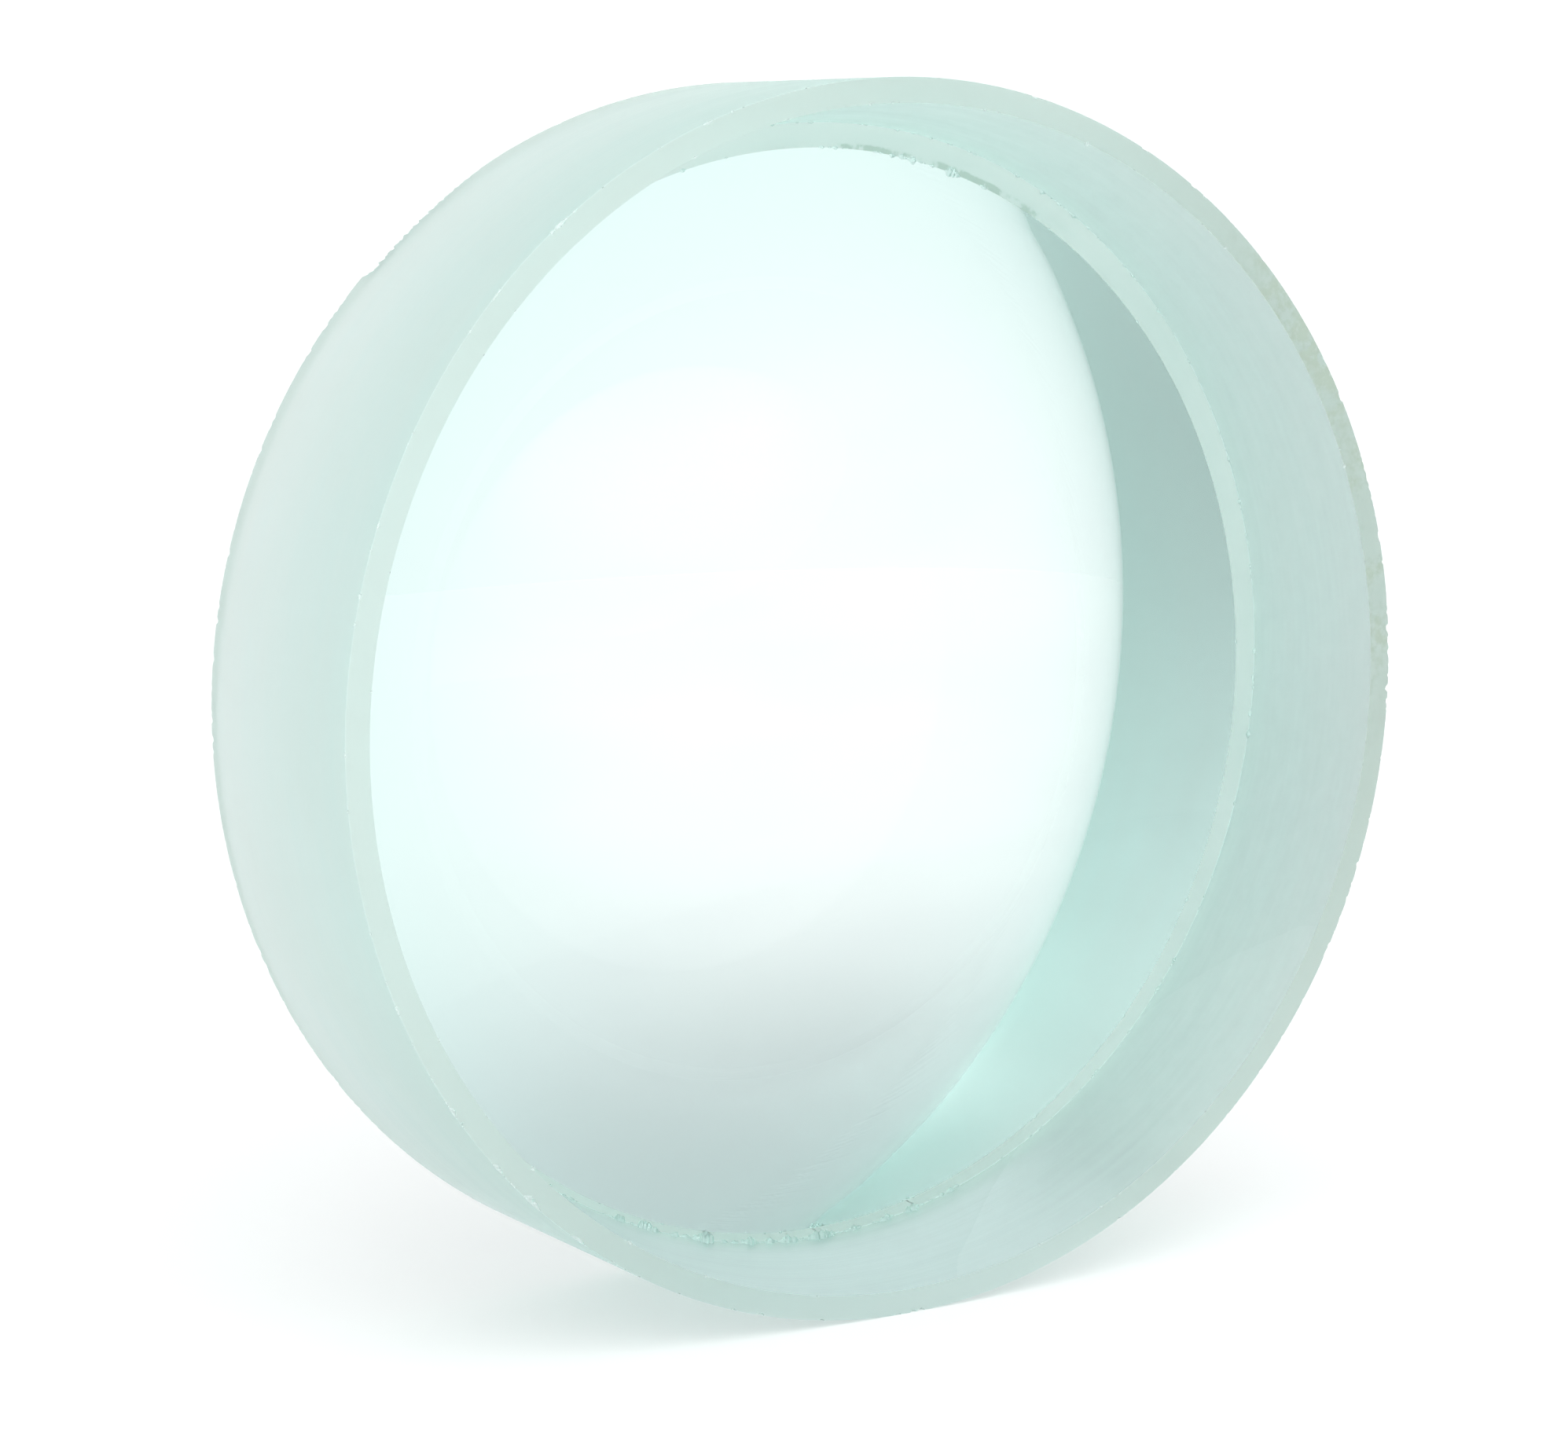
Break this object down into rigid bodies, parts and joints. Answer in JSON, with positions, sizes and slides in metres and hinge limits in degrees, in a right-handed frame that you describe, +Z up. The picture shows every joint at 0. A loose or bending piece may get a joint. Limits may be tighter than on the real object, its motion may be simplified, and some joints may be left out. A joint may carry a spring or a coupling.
{
  "type": "biconcave lens",
  "caption": "Thick round biconcave lens of pale green glass with polished hollows and a ground edge, standing on its edge.",
  "frame": {"origin": "on the floor, under the middle of the ground edge that the lens stands on", "axes": "+Z up, +Y along the lens axis from the front hollow to the back hollow, so the front hollow looks to -Y"},
  "size_m": [0.05, 0.012, 0.05],
  "materials": {
    "glass": "polished hollows, fine-ground edge and rims"
  },
  "bodies": {
    "root": {"lens": "glass"}
  },
  "joints": []
}
